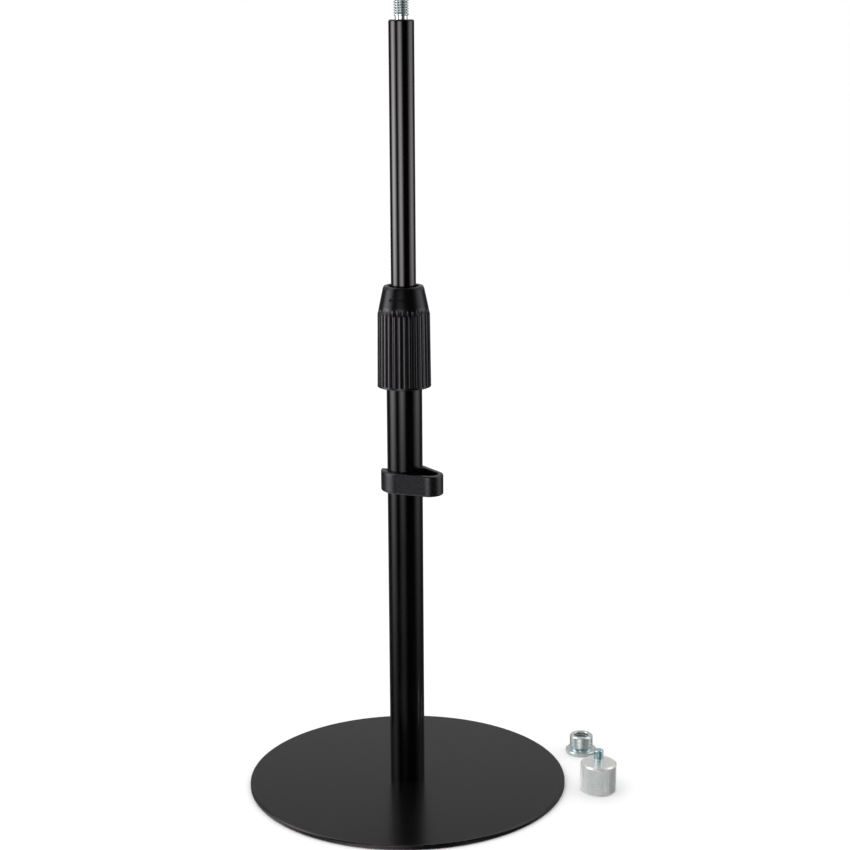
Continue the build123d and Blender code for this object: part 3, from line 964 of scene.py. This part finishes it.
BACKDROP_GLOW = 0.485
BACK_EDGE_GLOW = 0.12
CEILING_GLOW = 1.4
CEILING_MIDDLE = 0.30
CEILING_FRONT = 0.08
FILL = 1.10                       # even light on matt surfaces
FLOOR_HALF_SIZE = 40.0
FLOOR_DROP = 0.02 * MM
SOFTBOX_PLACE = (-0.9, -0.6, 1.7)
SOFTBOX_AIM = (0.0, 0.0, 0.2)
SOFTBOX_SIZE = 1.4
SOFTBOX_POWER = 6.0


def band(g, side, shape):
    """Soft upright band of brightness around one direction."""
    offset = g.math("SUBTRACT", side, float(shape["direction"]))
    away = g.math("ABSOLUTE", g.math("WRAP", offset, 180.0, -180.0))
    return g.between(away, 0.0, float(shape["width"]), shape["bright"], 0.0)


def strip_light(g, side, elevation, strip):
    """Brightness of one upright soft strip in the direction (side, elevation)."""
    below = g.math("MULTIPLY", g.math("SUBTRACT", elevation, strip["knee"]), 1 / strip["fall"])
    below = g.math("MINIMUM", g.math("ADD", g.math("EXPONENT", below), strip["low"]), 1.0)
    below = g.math("MULTIPLY", below, g.between(elevation, *STRIP_FOOT))
    above = g.between(elevation, *STRIP_HEAD, 1.0, strip["high"])
    return g.math("MULTIPLY", band(g, side, strip), g.math("MULTIPLY", below, above))


def backdrop_light(g, turned, elevation):
    """A dim wall behind the stand, with a fainter edge low down; turned is how far from the front."""
    wall = g.math("MULTIPLY", g.between(turned, 60.0, 120.0), g.between(elevation, 2.0, 9.0))
    wall = g.math("MULTIPLY", wall, g.between(elevation, 19.0, 31.0, BACKDROP_GLOW, 0.45 * BACKDROP_GLOW))
    edge = g.between(turned, 110.0, 150.0, 0.0, BACK_EDGE_GLOW)
    return g.math("MAXIMUM", wall, g.math("MULTIPLY", edge, g.between(elevation, 2.0, 14.0, 1.0, 0.0)))


def ceiling_light(g, turned, elevation):
    """A bright ceiling, dimmer in its middle and towards the front."""
    light = g.between(elevation, 32.0, 46.0, 0.0, CEILING_GLOW)
    light = g.math("MULTIPLY", light, g.between(elevation, 60.0, 76.0, 1.0, CEILING_MIDDLE))
    return g.math("MULTIPLY", light, g.between(turned, 70.0, 110.0, CEILING_FRONT, 1.0))


def floor_light(g, side, elevation):
    """What lies below the strips: a faint glow with brighter bands."""
    light = float(FLOOR_GLOW)
    for shape in FLOOR_BANDS:
        light = g.math("ADD", light, band(g, side, shape))
    return g.math("MULTIPLY", light, g.between(elevation, *FLOOR_EDGE, 1.0, 0.0))


def build_world():
    """White to the camera, even light for matt surfaces, soft strip lights for reflections."""
    world = bpy.data.worlds.new("studio")
    bpy.context.scene.world = world
    world.use_nodes = True
    world.cycles.sampling_method = "NONE"
    g = Graph(world.node_tree)
    world.node_tree.nodes.clear()
    view = g.node("ShaderNodeTexCoord").outputs["Generated"]
    parts = g.node("ShaderNodeSeparateXYZ", {"Vector": view}).outputs
    elevation = g.math("MULTIPLY", g.math("ARCSINE", parts["Z"]), 180 / math.pi)
    side = g.math("ARCTAN2", parts["X"], g.math("MULTIPLY", parts["Y"], -1.0))
    side = g.math("MULTIPLY", side, 180 / math.pi)
    turned = g.math("ABSOLUTE", side)
    even = g.math("MAXIMUM", backdrop_light(g, turned, elevation), ceiling_light(g, turned, elevation))
    even = g.math("ADD", even, floor_light(g, side, elevation))
    red, green, blue = even, even, even
    for strip in STRIPS:
        light = strip_light(g, side, elevation, strip)
        red = g.math("ADD", red, g.math("MULTIPLY", light, strip["red"]))
        green = g.math("ADD", green, light)
        blue = g.math("ADD", blue, g.math("MULTIPLY", light, strip["blue"]))
    studio = g.node("ShaderNodeCombineColor", {"Red": red, "Green": green, "Blue": blue}).outputs[0]
    paths = g.node("ShaderNodeLightPath").outputs
    colour = g.mix(paths["Is Glossy Ray"], grey(FILL), studio)
    colour = g.mix(paths["Is Camera Ray"], colour, grey(1.0))
    background = g.node("ShaderNodeBackground", {"Color": colour, "Strength": 1.0})
    output = g.node("ShaderNodeOutputWorld")
    world.node_tree.links.new(background.outputs[0], output.inputs["Surface"])


def build_floor():
    """A pale floor just under the foot pad. Reflections see the world's floor glow instead of it."""
    half = FLOOR_HALF_SIZE
    corners = [(-half, -half, 0), (half, -half, 0), (half, half, 0), (-half, half, 0)]
    mesh = bpy.data.meshes.new("floor")
    mesh.from_pydata(corners, [], [(0, 1, 2, 3)])
    floor = bpy.data.objects.new("floor", mesh)
    bpy.context.scene.collection.objects.link(floor)
    floor.data.materials.append(floor_material())
    floor.location.z = -FLOOR_DROP
    floor.visible_glossy = False


def build_softbox():
    """One wide soft light from the upper left gives the floor a faint direction."""
    data = bpy.data.lights.new("softbox", "AREA")
    data.shape = "SQUARE"
    data.size = SOFTBOX_SIZE
    data.energy = SOFTBOX_POWER
    light = bpy.data.objects.new("softbox", data)
    bpy.context.scene.collection.objects.link(light)
    light.location = SOFTBOX_PLACE
    light.rotation_mode = "QUATERNION"
    light.rotation_quaternion = (Vector(SOFTBOX_AIM) - light.location).to_track_quat("-Z", "Y")
    light.visible_glossy = False
    light.visible_camera = False


# ---------------------------------------------------------------- the whole scene

def paint_cad_nodes(materials):
    """Hidden turned and moulded parts keep their CAD shape and get a finish."""
    for node, material in materials.items():
        slots = frame["nodes"][node].data.materials
        slots.clear()
        slots.append(material)


coat = powder_coat()
paint = tube_paint()
grip_plastic = moulded_plastic(
    "satin grip plastic", level=0.0016, rough_low=0.18, rough_high=0.24, texture=1400,
    bite=0.006 * MM, shine=0.46)
clip_plastic = moulded_plastic(
    "grained clip plastic", level=0.0026, rough_low=0.25, rough_high=0.31, texture=1300,
    bite=0.024 * MM, shine=0.52)
stud_zinc = zinc_plate(
    "bright zinc", light=0.80, metal=0.90, rough_low=0.16, rough_high=0.22, tint=0.45, tool_marks=4000)
bushing_zinc = zinc_plate(
    "blue zinc", light=0.84, metal=0.80, rough_low=0.22, rough_high=0.26, tint=0.30, tool_marks=3000,
    blue_heights=(2.9 * MM, 4.9 * MM))
knurl_zinc = zinc_plate(
    "knurled zinc", light=0.96, metal=0.74, rough_low=0.24, rough_high=0.32, tint=0.03, tool_marks=2500,
    blue_heights=(20.3 * MM, 40.0 * MM))
oxide = black_oxide()
acetal = natural_acetal()

build_base_plate(coat)
build_foot_pad(foot_rubber())
build_lower_tube(paint)
build_inner_tube(paint)
build_grip(grip_plastic)
build_nut(grip_plastic)
build_stud(stud_zinc)
build_top_plug(oxide)
build_clip(clip_plastic)
build_bushing(bushing_zinc)
build_camera_adapter(knurl_zinc)
paint_cad_nodes({
    "base_screw": stud_zinc,
    "tube_plug": oxide,
    "clutch_sleeve": oxide,
    "clutch_collet": acetal,
    "guide_bush": acetal,
})

build_camera()
build_world()
build_floor()
build_softbox()
bpy.context.scene.view_settings.view_transform = "Standard"
